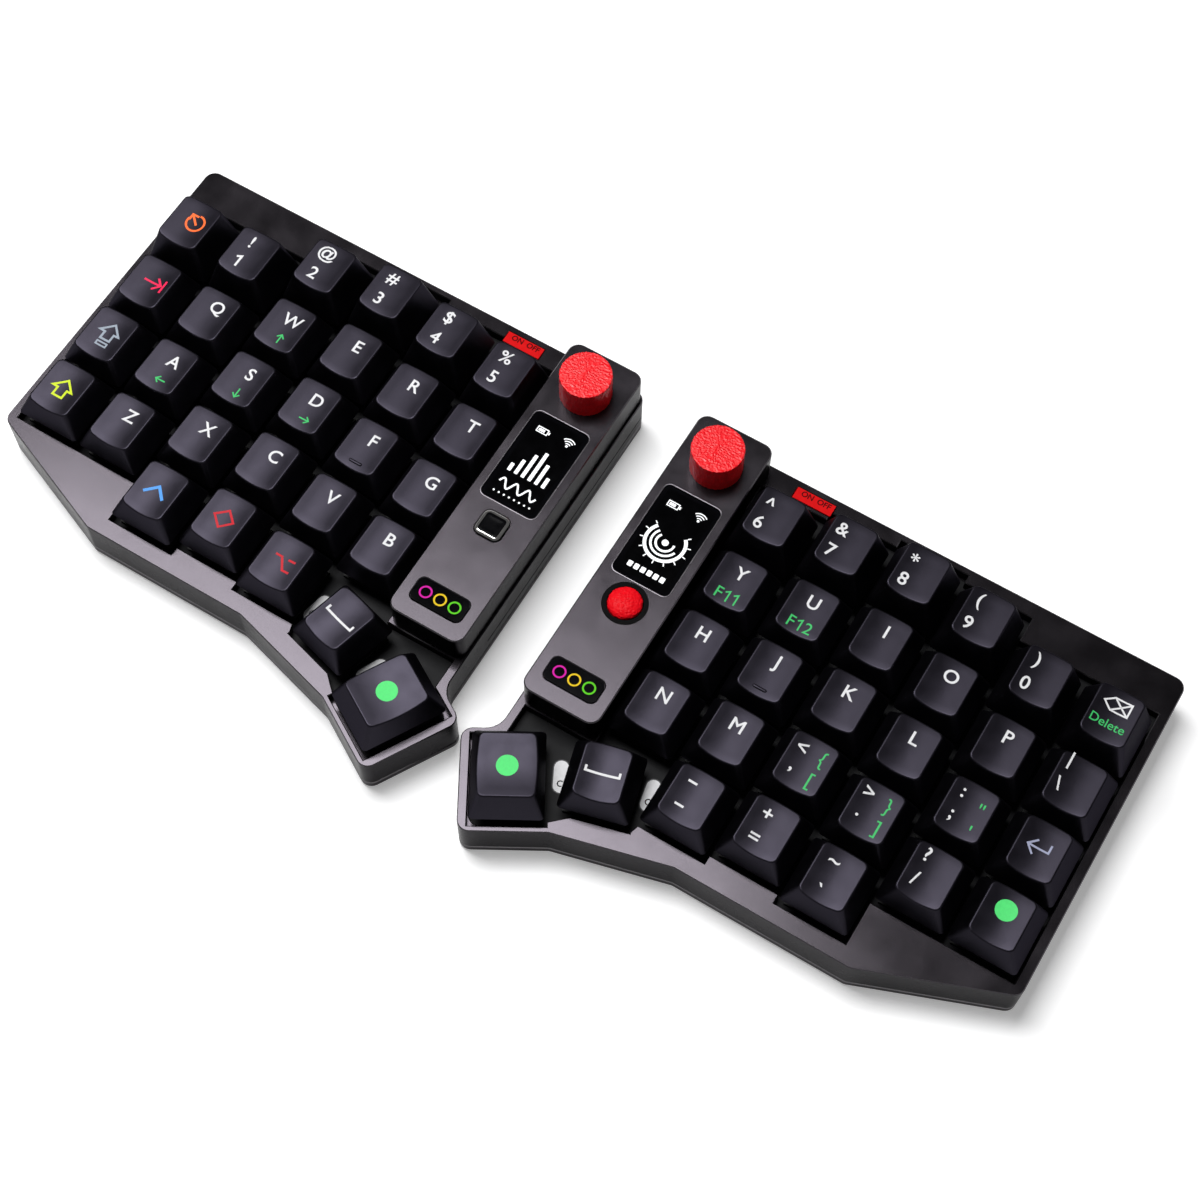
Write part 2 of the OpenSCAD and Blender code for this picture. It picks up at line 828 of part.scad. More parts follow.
module knob(h) {
    edge = 0.5;
    skirt = 1.4;
    color("#b3141f")
        in_half(h)
            translate([strip_x, knob_y, 0]) {
                translate([0, 0, shaft_bottom])
                    cylinder(h = knob_z + knob_h - knob_top_t - shaft_bottom - seat_gap, d = shaft_d);
                difference() {
                    rotate_extrude()
                        polygon([
                            [0, knob_z], [knob_d / 2 - edge, knob_z], [knob_d / 2, knob_z + edge],
                            [knob_d / 2, knob_z + knob_h - edge], [knob_d / 2 - edge, knob_z + knob_h],
                            [0, knob_z + knob_h]]);
                    translate([0, 0, knob_z - 1])
                        cylinder(h = knob_h - knob_top_t + 1, d = shaft_d + 2 * close_fit);
                    translate([0, 0, knob_z - 1])
                        cylinder(h = skirt + 1, d = bushing_d + 4 * slip_fit);
                }
            }
}

module plunger(flange) {
    flange_z = cover_ceiling - slip_fit - button_flange_t;
    translate([0, 0, plunger_z])
        cylinder(h = flange_z - plunger_z, d = plunger_d);
    block([flange, flange, button_flange_t], flange_z);
}

module square_button() {
    color("#141417")
        in_half("left")
            translate([strip_x, button_y, 0])
                union() {
                    plunger(square_w + 2 * flange_over);
                    rounded_block(square_w, square_w, 1.8, cover_ceiling - slip_fit, cover_top + button_rise);
                }
}

module round_button() {
    dome_r = (round_d * round_d / 4 + dome_h * dome_h) / (2 * dome_h);
    shoulder = cover_top + button_rise;
    color("#c01824")
        in_half("right")
            translate([strip_x, button_y, 0])
                union() {
                    plunger(round_d + 2 * round_gap + 2 * flange_over);
                    intersection() {
                        translate([0, 0, cover_ceiling - slip_fit])
                            cylinder(h = cover_h, d = round_d);
                        translate([0, 0, shoulder + dome_h - dome_r])
                            sphere(r = dome_r);
                    }
                }
}

module power_slider(h) {
    nub_y = rear_y - cover_ledge - 0.2;
    stem_y = rear_y - wall - slide_l / 2 + slip_fit;
    color("#101012")
        in_half(h)
            translate([power_x - power_travel / 2, (nub_y + stem_y) / 2, board_top + slide_h / 2])
                cube([slider_nub_w, nub_y - stem_y, slider_t], center = true);
}

module power_labels() {
    color("#c3161f")
        in_both()
            translate([power_x, rear_y - label_set, 0])
                block([label_w, label_l, label_t], rim_z - label_sink);
}

module controller_cover(h) {
    color("#454449")
        in_half(h)
            difference() {
                union() {
                    difference() {
                        cover_block(0, rim_z, cover_top);
                        cover_block(cover_wall, rim_z - 1, cover_ceiling);
                    }
                    intersection() {
                        cover_block(0, rim_z, cover_top);
                        for (b = cover_bosses)
                            translate([b.x, b.y, rim_z])
                                cylinder(h = cover_h - cover_top_t / 2, r = cover_boss_r);
                    }
                }
                for (b = cover_bosses)
                    translate([b.x, b.y, rim_z - 1])
                        cylinder(h = cover_h / 2 + 1.5, d = screw_d + 2 * seat_gap);
                translate([strip_x, knob_y, cover_ceiling - 1])
                    cylinder(h = cover_top_t + 2, d = bushing_d + 2 * slip_fit);
                window_seat(window_w, window_l, window_y);
                window_seat(status_w, status_l, status_y);
                translate([strip_x, window_y, 0])
                    rounded_block(
                        window_w - 2 * display_rim, window_l - 2 * display_rim, window_r - 0.6,
                        cover_ceiling - 1, cover_top + 1);
                translate([strip_x, button_y, cover_ceiling - 1])
                    button_hole(h);
            }
}

module cover_block(t, z0, z1) {
    translate([strip_x, (cover_y0 + cover_y1) / 2, 0])
        rounded_block(cover_w - 2 * t, cover_l - 2 * t, max(cover_r - t, 0.8), z0, z1);
}

module button_hole(h) {
    if (h == "left")
        rounded_block(square_w + 2 * button_gap, square_w + 2 * button_gap, 2, 0, cover_top_t + 2);
    else
        cylinder(h = cover_top_t + 2, d = round_d + 2 * round_gap);
}

function rear_rows(c) = [for (r = [0:1]) grid_key(c, r)];
function front_rows(c) = [for (r = [2:key_rows - 1]) grid_key(c, r)];

for (h = halves) {
    case_part(h);
    bottom_plate(h);
    switch_plate(h);
    controller_cover(h);
    knob(h);
    power_slider(h);
    for (c = [0:columns - 1]) {
        keys(h, rear_rows(c));
        keys(h, front_rows(c));
    }
    for (c = low_columns)
        keys(h, [grid_key(c, key_rows)]);
    keys(h, [space_key]);
    keys(h, [thumb_key]);
}
square_button();  // left_button
round_button();  // right_button
foam_pads();
circuit_boards();
usb_sockets();
batteries();
display_modules();
cover_windows();
encoders();
panel_switches();
switch_housings();
screws();
feet();
power_labels();
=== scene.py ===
"""Looks of a split keyboard: rounded keycaps with legends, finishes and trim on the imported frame."""

import math

import bmesh
import bpy
from mathutils import Matrix, Vector, noise


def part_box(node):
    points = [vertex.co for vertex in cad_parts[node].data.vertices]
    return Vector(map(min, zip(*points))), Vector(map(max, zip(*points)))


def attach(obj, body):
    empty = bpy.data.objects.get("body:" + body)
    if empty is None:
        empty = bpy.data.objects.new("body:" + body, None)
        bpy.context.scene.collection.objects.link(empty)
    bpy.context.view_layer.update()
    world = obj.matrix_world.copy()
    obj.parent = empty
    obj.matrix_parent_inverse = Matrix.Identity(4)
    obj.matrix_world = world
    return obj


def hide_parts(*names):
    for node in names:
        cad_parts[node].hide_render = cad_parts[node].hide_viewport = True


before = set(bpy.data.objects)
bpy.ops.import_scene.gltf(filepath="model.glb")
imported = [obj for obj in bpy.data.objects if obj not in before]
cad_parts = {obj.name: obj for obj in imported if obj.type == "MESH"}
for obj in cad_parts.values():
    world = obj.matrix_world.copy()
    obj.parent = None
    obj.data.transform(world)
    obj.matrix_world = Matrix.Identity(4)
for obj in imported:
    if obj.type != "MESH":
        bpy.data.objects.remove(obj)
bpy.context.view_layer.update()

# Metres in a millimetre, and the distance in mm within which points become one
MM = 0.001
WELD = 0.001

HALVES = ("left", "right")
COLUMNS = 6

# Keycaps, in mm
CAP_W = 18.1
THUMB_EXTRA = 4.76
CAP_H = 7.3
NUMBER_RISE = 3.5
CAP_SIDE_DRAW = 3.25
CAP_END_DRAW = 2.25
CAP_WALL = 1.4
CAP_CEILING = 2.0
CAP_FOOT_R = 1.1
CAP_TOP_R = 1.4
CAP_FILLET = 0.45
DISH_DEPTH = 0.8
TOP_BOW = 0.6
SPACE_ANGLE = 15
THUMB_ANGLE = 120

# Textured knobs, in mm
KNOB_FILLET = 0.25
KNOB_CRINKLE = 0.16
KNOB_CELL = 0.65
DOME_CELL = 0.9

# Windows and pads, in mm
WINDOW_R = 1.6
SCREEN_MARGIN = 1.1
PAD_W = 3.6
PAD_L = 8.4
PAD_EDGE = 0.3

# Printed marks, in mm
LETTER_H = 3.7
SYMBOL_H = 3.7
SMALL_H = 3.3
DELETE_H = 2.45
STROKE = 0.6
THIN = 0.4
FONT_STEM = 0.09
INK = 0.03


def srgb(red, green, blue):
    """Linear colour of display values from 0 to 255."""
    scaled = [v / 255 for v in (red, green, blue)]
    return tuple(v / 12.92 if v < 0.04 else ((v + 0.055) / 1.055) ** 2.4 for v in scaled)


# Finishes


def noise_node(nodes, links, coords, size, detail):
    """Noise texture whose features measure about size mm."""
    node = nodes.new("ShaderNodeTexNoise")
    node.inputs["Scale"].default_value = 1 / (size * MM)
    node.inputs["Detail"].default_value = detail
    links.new(coords, node.inputs["Vector"])
    return node.outputs["Fac"]


def finish(name, colour, roughness, mottle=0.08, mottle_size=6.0, spread=0.05, grain_size=0.25,
           grain_depth=0.006, **sockets):
    """Material with patchy colour and roughness and a fine surface grain, sizes in mm."""
    mat = bpy.data.materials.new(name)
    mat.use_nodes = True
    nodes = mat.node_tree.nodes
    links = mat.node_tree.links
    shader = nodes["Principled BSDF"]
    coords = nodes.new("ShaderNodeTexCoord").outputs["Object"]
    patches = noise_node(nodes, links, coords, mottle_size, 4)

    ramp = nodes.new("ShaderNodeValToRGB")
    for stop, place, level in zip(ramp.color_ramp.elements, (0.3, 0.7), (1 - mottle, 1 + mottle)):
        stop.position = place
        stop.color = tuple(min(1, c * level) for c in colour) + (1,)
    links.new(patches, ramp.inputs["Fac"])
    links.new(ramp.outputs["Color"], shader.inputs["Base Color"])

    gloss = nodes.new("ShaderNodeMapRange")
    gloss.inputs["From Min"].default_value = 0.3
    gloss.inputs["From Max"].default_value = 0.7
    gloss.inputs["To Min"].default_value = max(0.02, roughness - spread)
    gloss.inputs["To Max"].default_value = roughness + spread
    links.new(patches, gloss.inputs["Value"])
    links.new(gloss.outputs["Result"], shader.inputs["Roughness"])

    bump = nodes.new("ShaderNodeBump")
    bump.inputs["Strength"].default_value = 0.6
    bump.inputs["Distance"].default_value = grain_depth * MM
    links.new(noise_node(nodes, links, coords, grain_size, 2), bump.inputs["Height"])
    links.new(bump.outputs["Normal"], shader.inputs["Normal"])

    for socket, value in sockets.items():
        shader.inputs[socket.replace("_", " ").title().replace("Ior", "IOR")].default_value = value
    return mat


DARK_METAL = {"metallic": 1.0, "specular_tint": (0.6, 0.6, 0.6, 1.0)}
CASE = finish("case_aluminium", srgb(56, 53, 57), 0.22, 0.06, 9, 0.03, 0.22, 0.006, **DARK_METAL)
# Darker finish of the upright sides of cases and covers: painted shade
CASE_SIDE_SHADE = finish("case_side_painted_shade", srgb(31, 29, 32), 0.28, 0.06, 9, 0.03, 0.22, 0.006, **DARK_METAL)
# Lighter finish of the chamfers on cases and covers: painted highlight
CASE_EDGE_HIGHLIGHT = finish("case_edge_painted_highlight", srgb(100, 97, 101), 0.30, 0.06, 5, 0.04, 0.3, 0.006, **DARK_METAL)
COVER = finish("cover_aluminium", srgb(56, 53, 57), 0.24, 0.06, 8, 0.03, 0.22, 0.006, **DARK_METAL)
# Light finish of the thin rings round the display windows: painted highlight
FRAME_HIGHLIGHT = finish("window_frame_painted_highlight", srgb(92, 89, 93), 0.28, 0.06, 5, 0.04, 0.3, 0.004, **DARK_METAL)
BOTTOM = finish("bottom_aluminium", srgb(60, 57, 60), 0.32, 0.06, 9, 0.04, 0.25, 0.008, **DARK_METAL)
# Lighter finish of the bottom plates' chamfers: painted highlight
BOTTOM_EDGE_HIGHLIGHT = finish("bottom_edge_painted_highlight", srgb(150, 147, 150), 0.32, 0.06, 5, 0.04, 0.3, 0.006, **DARK_METAL)
# Near-black switch plate: painted shade of the keycaps over it
PLATE_SHADE = finish("plate_laminate_painted_shade", srgb(15, 15, 17), 0.5, 0.1, 7, 0.05, 0.25, 0.02, specular_ior_level=0.09)
KEYCAP = finish("keycap_satin", srgb(42, 40, 47), 0.42, 0.07, 5, 0.04, 0.16, 0.010, metallic=1.0,
                specular_tint=(0.45, 0.45, 0.45, 1.0))
SWITCH = finish("switch_plastic", srgb(24, 24, 26), 0.45, 0.08, 4, 0.05, 0.3, 0.008, specular_ior_level=0.2)
BOARD = finish("board_lacquer", srgb(22, 40, 34), 0.4, 0.15, 3, 0.06, 0.6, 0.015)
FOAM = finish("foam", srgb(40, 40, 42), 0.9, 0.25, 1.2, 0.05, 0.5, 0.08)
STEEL = finish("bright_steel", srgb(196, 194, 190), 0.26, 0.05, 4, 0.05, 0.4, 0.004, metallic=1.0)
CHROME = finish("chrome", srgb(226, 224, 222), 0.12, 0.04, 2, 0.04, 0.5, 0.001, metallic=1.0)
CELL = finish("cell_foil", srgb(170, 170, 168), 0.35, 0.06, 6, 0.08, 0.8, 0.02, metallic=0.9)
SCREW = finish("black_screw", srgb(60, 58, 58), 0.35, 0.08, 1.5, 0.06, 0.2, 0.006, metallic=1.0)
RUBBER = finish("foot_rubber", srgb(30, 30, 31), 0.75, 0.1, 2, 0.06, 0.3, 0.02)
GLASS = finish("window_glass", srgb(6, 6, 8), 0.10, 0.2, 9, 0.04, 3.0, 0.0008, specular_ior_level=0.02)
SCREEN = finish("screen_black", srgb(3, 3, 4), 0.16, 0.3, 4, 0.03, 0.4, 0.001, specular_ior_level=0.02)
LABEL = finish("red_label", srgb(206, 12, 16), 0.38, 0.08, 2, 0.06, 0.3, 0.008, specular_ior_level=0.05)
LABEL_INK = finish("label_ink", srgb(96, 6, 9), 0.5, 0.1, 1, 0.05, 0.2, 0.004, specular_ior_level=0.05)
RED = finish("red_lacquer", srgb(232, 12, 26), 0.36, 0.08, 1.4, 0.08, 0.25, 0.006, specular_ior_level=0.3)
DOME_RED = finish("red_dome", srgb(226, 12, 26), 0.42, 0.08, 1.4, 0.08, 0.25, 0.006, specular_ior_level=0.08)
BLACK_GLOSS = finish("black_button", srgb(7, 7, 9), 0.2, 0.2, 3, 0.05, 0.4, 0.002, specular_ior_level=0.02)
DARK_RING = finish("dark_ring", srgb(6, 6, 7), 0.5, 0.1, 2, 0.05, 0.3, 0.004, specular_ior_level=0.03)
SLIDER = finish("slider_plastic", srgb(26, 26, 28), 0.5, 0.1, 1.5, 0.05, 0.2, 0.006)
PATCH = finish("white_patch", srgb(214, 214, 216), 0.55, 0.08, 1.2, 0.05, 0.3, 0.006)
PATCH_EDGE = finish("patch_edge", srgb(40, 40, 44), 0.55, 0.08, 1.2, 0.05, 0.3, 0.006)


def ink(name, red, green, blue):
    """Printed or dyed mark, with the plastic's grain showing through."""
    return finish("ink_" + name, srgb(red, green, blue), 0.55, 0.05, 0.8, 0.05, 0.16, 0.008,
                  specular_ior_level=0.2)


def glow(name, red, green, blue, strength):
    """Lit mark behind glass."""
    colour = srgb(red, green, blue)
    return finish("lit_" + name, colour, 0.3, 0.06, 0.5, 0.05, 0.3, 0.001, specular_ior_level=0.05,
                  emission_color=colour + (1,), emission_strength=strength)


WHITE = ink("white", 226, 226, 228)
GREEN = ink("green", 62, 190, 104)
DOT_GREEN = ink("dot_green", 84, 226, 120)
ORANGE = ink("orange", 255, 110, 50)
PINK = ink("pink", 236, 36, 84)
GREY = ink("grey", 150, 160, 172)
YELLOW = ink("yellow", 204, 224, 40)
BLUE = ink("blue", 84, 156, 232)
SCARLET = ink("scarlet", 196, 26, 40)
LAVENDER = ink("lavender", 160, 164, 190)
LIT_WHITE = glow("white", 232, 234, 236, 0.5)
LIT_MAGENTA = glow("magenta", 196, 14, 150, 0.15)
LIT_YELLOW = glow("yellow", 214, 180, 20, 0.15)
LIT_GREEN = glow("green", 84, 190, 24, 0.15)

NODE_FINISH = {
    "switch_plate": PLATE_SHADE, "power_slider": SLIDER, "foam_pads": FOAM, "circuit_boards": BOARD,
    "usb_sockets": STEEL, "batteries": CELL, "display_modules": SCREEN, "cover_windows": GLASS,
    "encoders": STEEL, "panel_switches": SWITCH, "switch_housings": SWITCH, "screws": SCREW,
    "feet": RUBBER, "power_labels": LABEL,
}


def paint_nodes():
    """Gives each carried-over node its finish."""
    for name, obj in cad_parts.items():
        for ending, mat in NODE_FINISH.items():
            if name.endswith(ending):
                for place in obj.material_slots:
                    place.material = mat


# Mesh helpers


def add_object(name, bm, mats, body, place=None, sharp=35):
    """Object of a finished bmesh in mm, at a place in the frame, riding a body, its normals made anew."""
    bmesh.ops.scale(bm, vec=(MM, MM, MM), verts=bm.verts)
    mesh = bpy.data.meshes.new(name)
    bm.to_mesh(mesh)
    bm.free()
    imported = mesh.attributes.get("custom_normal")
    if imported is not None:
        mesh.attributes.remove(imported)
    for mat in mats:
        mesh.materials.append(mat)
    mesh.shade_smooth()
    mesh.set_sharp_from_angle(angle=math.radians(sharp))
    return add_instance(name, mesh, body, place)


def add_instance(name, mesh, body, place=None):
    """Object of a mesh in metres, at a place in the frame, riding a body."""
    obj = bpy.data.objects.new(name, mesh)
    bpy.context.scene.collection.objects.link(obj)
    if place:
        obj.matrix_world = place
    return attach(obj, body)


def at(x, y, z, angle=0):
    """Place in the frame, in mm and degrees about Z."""
    return Matrix.Translation(Vector((x, y, z)) * MM) @ Matrix.Rotation(math.radians(angle), 4, "Z")


def box_mm(node):
    """Lowest and highest corner of a node, in mm."""
    low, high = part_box(node)
    return low / MM, high / MM


def node_bmesh(node):
    """Cleaned copy of a node's mesh, in mm, its flat faces joined."""
    bm = bmesh.new()
    bm.from_mesh(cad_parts[node].data)
    bmesh.ops.scale(bm, vec=(1 / MM,) * 3, verts=bm.verts)
    bmesh.ops.remove_doubles(bm, verts=bm.verts, dist=WELD)
    bmesh.ops.dissolve_limit(bm, angle_limit=math.radians(0.3), verts=bm.verts, edges=bm.edges)
    return bm


def islands(bm):
    """Groups of connected vertices, in the order of the mesh."""
    left = set(bm.verts)
    groups = []
    for first in bm.verts:
        if first not in left:
            continue
        left.remove(first)
        queue = [first]
        group = list(queue)
        while queue:
            vert = queue.pop()
            for edge in vert.link_edges:
                other = edge.other_vert(vert)
                if other in left:
                    left.remove(other)
                    queue.append(other)
                    group.append(other)
        groups.append(group)
    return groups


def corners(verts):
    """Lowest and highest corner of some vertices."""
    low = Vector([min(v.co[i] for v in verts) for i in range(3)])
    high = Vector([max(v.co[i] for v in verts) for i in range(3)])
    return low, high


def half_width_above(node, z):
    """Half the width of what a node shows above a height, in mm."""
    bm = node_bmesh(node)
    low, high = corners([v for v in bm.verts if v.co.z > z])
    bm.free()
    return (high.x - low.x) / 2


def solid_boxes(node):
    """Corners of each solid of a node, in mm."""
    bm = node_bmesh(node)
    boxes = [corners(group) for group in islands(bm)]
    bm.free()
    return boxes


def rounded_ring(half_w, half_l, radius, corner_steps=5, side_steps=6):
    """Points of a rounded rectangle, counter-clockwise."""
    arcs = []
    for sx, sy, start in ((1, 1, 0), (-1, 1, 90), (-1, -1, 180), (1, -1, 270)):
        arc = []
        for i in range(corner_steps + 1):
            a = math.radians(start + 90 * i / corner_steps)
            arc.append(Vector((sx * (half_w - radius) + radius * math.cos(a),
                               sy * (half_l - radius) + radius * math.sin(a))))
        arcs.append(arc)
    ring = []
    for i, arc in enumerate(arcs):
        follower = arcs[(i + 1) % 4][0]
        ring += arc
        ring += [arc[-1].lerp(follower, k / side_steps) for k in range(1, side_steps)]
    return ring


def circle(radius, sides):
    """Points on a circle, counter-clockwise."""
    turn = [2 * math.pi * i / sides for i in range(sides)]
    return [(radius * math.cos(a), radius * math.sin(a)) for a in turn]


def loft(bm, rings, close_first=True, close_last=True):
    """Skin over rings of equally many points, with a face over each end that is to be closed."""
    loops = [[bm.verts.new(p) for p in ring] for ring in rings]
    count = len(loops[0])
    for lower, upper in zip(loops, loops[1:]):
        for i in range(count):
            j = (i + 1) % count
            bm.faces.new((lower[i], lower[j], upper[j], upper[i]))
    if close_first:
        bm.faces.new(loops[0][::-1])
    if close_last:
        bm.faces.new(loops[-1])


def hoop(rings):
    """Closed bmesh over rings of which the last is the first again."""
    bm = bmesh.new()
    loft(bm, rings, False, False)
    bmesh.ops.remove_doubles(bm, verts=bm.verts, dist=WELD)
    bmesh.ops.recalc_face_normals(bm, faces=bm.faces)
    return bm


def lathe(profile, segments):
    """Closed bmesh turned from (radius, height) points that start and end on the axis."""
    bm = bmesh.new()
    rings = []
    for radius, z in profile[1:-1]:
        rings.append([(x, y, z) for x, y in circle(radius, segments)])
    loft(bm, rings, False, False)
    bm.verts.ensure_lookup_table()
    for (_, z), start, flip in ((profile[0], 0, True), (profile[-1], len(bm.verts) - segments, False)):
        ring = [bm.verts[start + i] for i in range(segments)]
        tip = bm.verts.new((0, 0, z))
        bm.verts.ensure_lookup_table()
        for i in range(segments):
            face = (ring[i], ring[(i + 1) % segments], tip)
            bm.faces.new(face[::-1] if flip else face)
    return bm


def crinkle(bm, depth, size):
    """Leathery surface: cells of the given size whose edges sink in."""
    bm.normal_update()
    moves = []
    for vert in bm.verts:
        warp = Vector((noise.noise(vert.co / size + Vector((k, 0, 0))) for k in (0, 17, 31))) * 0.6
        near, second = noise.voronoi(vert.co / size + warp)[0][:2]
        moves.append(depth * (min(1, (second - near) * 2.2) - 0.6))
    for vert, move in zip(list(bm.verts), moves):
        vert.co += vert.normal * move


# Keycaps


class Cap:
    """Shape of one kind of keycap."""

    def __init__(self, name, width, height):
        self.name = name
        self.width = width
        self.height = height
        self.mesh = None

    def hollow(self, x):
        """Share of the dish's depth, from none at the sides to all in the middle."""
        return 1 - (x / (self.width / 2 - CAP_SIDE_DRAW)) ** 2

    def top(self, x):
        """Height of the dished top."""
        return self.height - DISH_DEPTH * self.hollow(x)

    def ring(self, dx, dy, radius, z):
        """Level ring drawn in by dx and dy."""
        flat = rounded_ring(self.width / 2 - dx, CAP_W / 2 - dy, radius)
        return [(p.x, p.y, z) for p in flat]

    def brim(self, dx, dy, radius, drop):
        """Ring around the top, lower by drop, its front and rear bowed out over the dish."""
        flat = rounded_ring(self.width / 2 - dx, CAP_W / 2 - dy, radius)
        bow = [math.copysign(TOP_BOW * max(0, self.hollow(p.x)), p.y) for p in flat]
        return [(p.x, p.y + b, self.top(p.x) - drop) for p, b in zip(flat, bow)]

    def build(self):
        """Shell with drawn-in sides, a rounded shoulder and a dished top."""
        ceiling = self.height - CAP_CEILING
        share = ceiling / self.height
        rings = [
            self.ring(CAP_WALL + CAP_SIDE_DRAW * share, CAP_WALL + CAP_END_DRAW * share, 0.8, ceiling),
            self.ring(CAP_WALL, CAP_WALL, 0.6, 0),
            self.ring(0.15, 0.15, CAP_FOOT_R, 0),
            self.ring(0.03, 0.02, CAP_FOOT_R, 0.15),
        ]
        steps = 5
        start = 1 - CAP_FILLET / self.height
        for k in range(steps + 1):
            u = k / steps
            ends = ((1 - u) ** 2, 2 * u * (1 - u), u ** 2)
            draws = [
                ends[0] * draw * start + ends[1] * draw + ends[2] * (draw + CAP_FILLET)
                for draw in (CAP_SIDE_DRAW, CAP_END_DRAW)
            ]
            radius = CAP_TOP_R - 0.5 * u * CAP_FILLET
            rings.append(self.brim(draws[0], draws[1], radius, ends[0] * CAP_FILLET))
        brink = rings[-1]
        for share in (0.75, 0.5, 0.25, 0.06):
            rings.append([(x * share, y * share, self.top(x * share)) for x, y, _ in brink])
        bm = bmesh.new()
        loft(bm, rings)
        return bm

    def place(self, name, body, place):
        """Keycap of this kind, sharing one mesh."""
        if self.mesh is None:
            obj = add_object(name, self.build(), (KEYCAP,), body, place, 40)
            self.mesh = obj.data
            self.mesh.name = self.name
        else:
            obj = add_instance(name, self.mesh, body, place)
        return obj


STANDARD = Cap("keycap_standard", CAP_W, CAP_H)
NUMBER = Cap("keycap_number", CAP_W, CAP_H + NUMBER_RISE)
THUMB = Cap("keycap_thumb", CAP_W + THUMB_EXTRA, CAP_H)


# Flat marks: each shape is a list of points and a list of faces, in mm


def moved(shape, x, y, turn=0):
    """Shape turned about its middle and shifted."""
    c = math.cos(math.radians(turn))
    s = math.sin(math.radians(turn))
    points, faces = shape
    return [(c * px - s * py + x, s * px + c * py + y) for px, py in points], faces


def joined(*shapes):
    """One shape of several."""
    points = []
    faces = []
    for some_points, some_faces in shapes:
        faces += [[i + len(points) for i in face] for face in some_faces]
        points = points + list(some_points)
    return points, faces


def ribbon(path, width=STROKE, closed=False):
    """Stroke of even width along a path, with mitred bends."""
    pts = [Vector(p) for p in path]
    count = len(pts)
    sides = ([], [])
    for i, p in enumerate(pts):
        before = pts[i - 1] if i or closed else None
        after = pts[(i + 1) % count] if i < count - 1 or closed else None
        ways = [(p - before).normalized()] if before else []
        ways += [(after - p).normalized()] if after else []
        normals = [Vector((-w.y, w.x)) for w in ways]
        mitre = sum(normals, Vector((0, 0))).normalized()
        reach = width / 2 / max(0.4, mitre.dot(normals[0]))
        sides[0].append(tuple(p + mitre * reach))
        sides[1].append(tuple(p - mitre * reach))
    faces = []
    for i in range(count if closed else count - 1):
        j = (i + 1) % count
        faces.append([i, count + i, count + j, j])
    return sides[0] + sides[1], faces


def disc(radius, sides=32):
    """Filled circle."""
    return circle(radius, sides), [list(range(sides))]


def slab(width, length, radius=0.0):
    """Filled rectangle, with rounded corners where a radius is given."""
    ring = rounded_ring(width / 2, length / 2, max(radius, 0.01), 4, 1)
    return [tuple(p) for p in ring], [list(range(len(ring)))]


def arc(radius, start, end, steps=24):
    """Points on a circle from one angle to another, in degrees."""
    turn = [math.radians(start + (end - start) * i / steps) for i in range(steps + 1)]
    return [(radius * math.cos(a), radius * math.sin(a)) for a in turn]


def borders(shape):
    """Closed border paths of a shape whose faces share their points."""
    points, faces = shape
    edges = {(a, b) for face in faces for a, b in zip(face, face[1:] + face[:1])}
    follower = {a: b for a, b in edges if (b, a) not in edges}
    paths = []
    while follower:
        first, vert = follower.popitem()
        path = [first]
        while vert != first:
            path.append(vert)
            vert = follower.pop(vert)
        paths.append([points[i] for i in path])
    return paths


def text(string, height, stroke=STROKE):
    """Short text of the given height and stroke, its box centred."""
    curve = bpy.data.curves.new("mark", "FONT")
    curve.body = string
    curve.resolution_u = 4
    obj = bpy.data.objects.new("mark", curve)
    bpy.context.scene.collection.objects.link(obj)
    mesh = bpy.data.meshes.new_from_object(obj)
    size = height / 0.73
    spread = max(0.02, stroke - FONT_STEM * size)
    flat = [(v.co.x * size, v.co.y * size) for v in mesh.vertices]
    faces = [list(p.vertices) for p in mesh.polygons]
    bpy.data.objects.remove(obj)
    bpy.data.curves.remove(curve)
    bpy.data.meshes.remove(mesh)
    middle = [(min(p[i] for p in flat) + max(p[i] for p in flat)) / 2 for i in (0, 1)]
    shape = ([(x - middle[0], y - middle[1]) for x, y in flat], faces)
    return joined(shape, *(ribbon(path, spread, True) for path in borders(shape)))


def arrow(length, stroke=STROKE):
    """Thin arrow to the right."""
    head = length * 0.36
    tip = length / 2
    return joined(
        ribbon([(-tip, 0), (tip - stroke * 0.7, 0)], stroke),
        ribbon([(tip - head, head), (tip, 0), (tip - head, -head)], stroke),
    )


def block_arrow(width, length, neck):
    """Outlined arrow upwards."""
    tip = length / 2
    shoulder = tip - width / 2
    half = width / 2
    path = [(0, tip), (-half, shoulder), (-neck, shoulder), (-neck, -tip), (neck, -tip), (neck, shoulder),
            (half, shoulder)]
    return ribbon(path, 0.6, True)


def escape_mark():
    """Open ring with an arrow out of it."""
    return joined(ribbon(arc(2.5, 160, 450)), moved(arrow(3.8), -0.8, 0.8, 135))


def tab_mark():
    """Arrow against a bar."""
    return joined(arrow(5.2), ribbon([(3.3, -2.0), (3.3, 2.0)]))


def caps_mark():
    """Outlined arrow over a small bar."""
    return joined(moved(block_arrow(5.7, 5.0, 1.4), 0, 0.6),
                  ribbon([(-1.5, -3.9), (1.5, -3.9), (1.5, -2.9), (-1.5, -2.9)], 0.45, True))


def option_mark():
    """Bent stroke and a short bar."""
    return joined(ribbon([(-2.9, 1.6), (-1.1, 1.6), (1.0, -1.6), (2.9, -1.6)]),
                  ribbon([(0.8, 1.6), (2.9, 1.6)]))


def return_mark():
    """Arrow to the left with a riser."""
    return joined(moved(arrow(5.6, 0.5), 0, -0.6, 180), ribbon([(2.55, -0.6), (2.55, 1.6)], 0.5))


